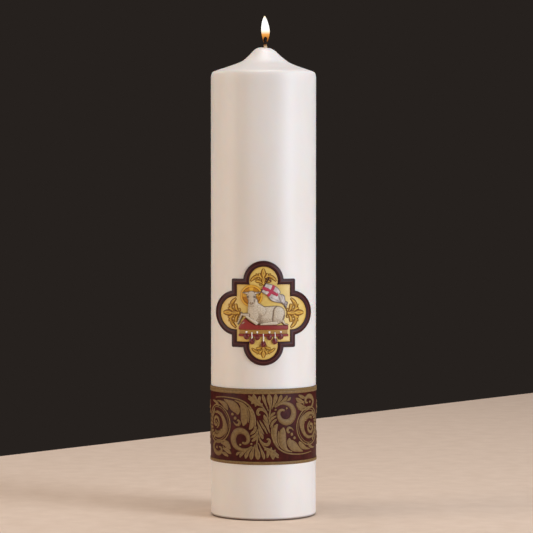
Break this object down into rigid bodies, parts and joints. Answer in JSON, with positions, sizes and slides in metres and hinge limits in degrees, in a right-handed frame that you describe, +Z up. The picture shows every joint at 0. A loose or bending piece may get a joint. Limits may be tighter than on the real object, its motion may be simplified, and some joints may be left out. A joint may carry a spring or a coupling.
{
  "type": "altar candle",
  "caption": "Large wax pillar candle with an exposed wick, a raised scrollwork band round its foot and a quatrefoil medallion of a lamb with a banner on its front.",
  "frame": {"origin": "centre of the round foot, on the surface the candle stands on", "axes": "+Z up along the candle, -Y out of the front where the medallion is, +X to the right seen from the front"},
  "size_m": [0.079, 0.0803, 0.3472],
  "materials": {
    "ivory_wax": "smooth ivory candle wax, slightly translucent",
    "charred_cotton": "braided cotton, charred at the free end",
    "tin_plate": "tinned steel sheet",
    "maroon_wax": "dark maroon pressed wax sheet",
    "scroll_gold": "antique gold lacquered wax",
    "filigree_gold": "brown gold lacquered wax",
    "field_gold": "yellow gold lacquered wax",
    "page_gold": "gold page edges on pressed wax",
    "halo_gold": "orange gold lacquered wax",
    "white_wax": "hand painted off-white wax",
    "red_wax": "hand painted deep red wax",
    "seal_maroon": "hand painted maroon wax"
  },
  "bodies": {
    "root": {"candle_body": "ivory_wax", "wick": "charred_cotton", "wick_sustainer": "tin_plate", "band_ground": "maroon_wax", "band_edge_upper": "scroll_gold", "band_edge_lower": "scroll_gold", "band_volute_1": "scroll_gold", "band_volute_2": "scroll_gold", "band_volute_3": "scroll_gold", "band_volute_4": "scroll_gold", "band_c_scroll_1": "scroll_gold", "band_c_scroll_2": "scroll_gold", "band_c_scroll_3": "scroll_gold", "band_c_scroll_4": "scroll_gold", "band_leaf_fan_1": "scroll_gold", "band_leaf_fan_2": "scroll_gold", "band_leaf_fan_3": "scroll_gold", "band_leaf_fan_4": "scroll_gold", "band_leaf_curl_1": "scroll_gold", "band_leaf_curl_2": "scroll_gold", "band_leaf_curl_3": "scroll_gold", "band_leaf_curl_4": "scroll_gold", "band_pod_spray_1": "scroll_gold", "band_pod_spray_2": "scroll_gold", "band_pod_spray_3": "scroll_gold", "band_pod_spray_4": "scroll_gold", "band_centre_stem_1": "scroll_gold", "band_centre_stem_2": "scroll_gold", "band_blossom_1": "scroll_gold", "band_blossom_2": "scroll_gold", "band_blossom_3": "scroll_gold", "band_blossom_4": "scroll_gold", "medallion_border": "maroon_wax", "medallion_field": "field_gold", "filigree_top": "filigree_gold", "filigree_left": "filigree_gold", "filigree_right": "filigree_gold", "filigree_bottom": "filigree_gold", "halo": "halo_gold", "lamb": "white_wax", "banner_staff": "maroon_wax", "banner_cloth": "white_wax", "banner_cross": "red_wax", "book_cover_upper": "red_wax", "book_pages": "page_gold", "book_cover_lower": "red_wax", "seal_1": "seal_maroon", "seal_2": "seal_maroon", "seal_3": "seal_maroon", "seal_4": "seal_maroon", "seal_5": "seal_maroon", "seal_6": "seal_maroon", "seal_7": "seal_maroon", "seal_cord_1": "white_wax", "seal_cord_2": "white_wax", "seal_cord_3": "white_wax", "seal_cord_4": "white_wax", "seal_cord_5": "white_wax", "seal_cord_6": "white_wax", "seal_cord_7": "white_wax"}
  },
  "joints": []
}
